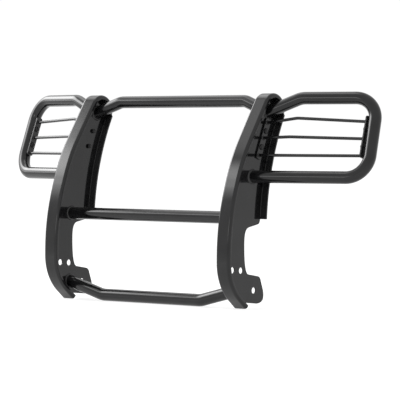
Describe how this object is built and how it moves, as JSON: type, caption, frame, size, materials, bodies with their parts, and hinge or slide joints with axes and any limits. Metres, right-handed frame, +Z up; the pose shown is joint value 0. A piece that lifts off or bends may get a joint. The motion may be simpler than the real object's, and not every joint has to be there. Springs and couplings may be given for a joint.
{
  "type": "grille guard",
  "caption": "Black steel front grille guard: two curved uprights, three crossbars and swept headlight wings, with bracket tabs at the foot.",
  "frame": {"origin": "centre of the guard's footprint, at the height of its lowest point", "axes": "+X to the guard's right-hand side, -Y to the front, away from the vehicle, +Z up; the plane X = 0 is the plane of symmetry"},
  "size_m": [1.4612, 0.3128, 0.649],
  "materials": {
    "gloss_black": "semi-gloss black powder coat",
    "black_hardware": "black coated bolts and nuts"
  },
  "bodies": {
    "root": {"front_channel_left": "gloss_black", "front_channel_right": "gloss_black", "inner_bolt_lower_left": "black_hardware", "inner_bolt_lower_right": "black_hardware", "inner_bolt_upper_left": "black_hardware", "inner_bolt_upper_right": "black_hardware", "inner_nut_lower_left": "black_hardware", "inner_nut_lower_right": "black_hardware", "inner_nut_upper_left": "black_hardware", "inner_nut_upper_right": "black_hardware", "inner_strip_left": "gloss_black", "inner_strip_right": "gloss_black", "lower_crossbar": "gloss_black", "middle_crossbar": "gloss_black", "outer_bolt_lower_left": "black_hardware", "outer_bolt_lower_right": "black_hardware", "outer_bolt_upper_left": "black_hardware", "outer_bolt_upper_right": "black_hardware", "outer_strip_left": "gloss_black", "outer_strip_right": "gloss_black", "rear_flange_left": "gloss_black", "rear_flange_right": "gloss_black", "top_crossbar": "gloss_black", "upright_plate_left": "gloss_black", "upright_plate_right": "gloss_black", "wing_rod_lower_left": "gloss_black", "wing_rod_lower_right": "gloss_black", "wing_rod_middle_left": "gloss_black", "wing_rod_middle_right": "gloss_black", "wing_rod_upper_left": "gloss_black", "wing_rod_upper_right": "gloss_black", "wing_tube_left": "gloss_black", "wing_tube_right": "gloss_black"}
  },
  "joints": []
}
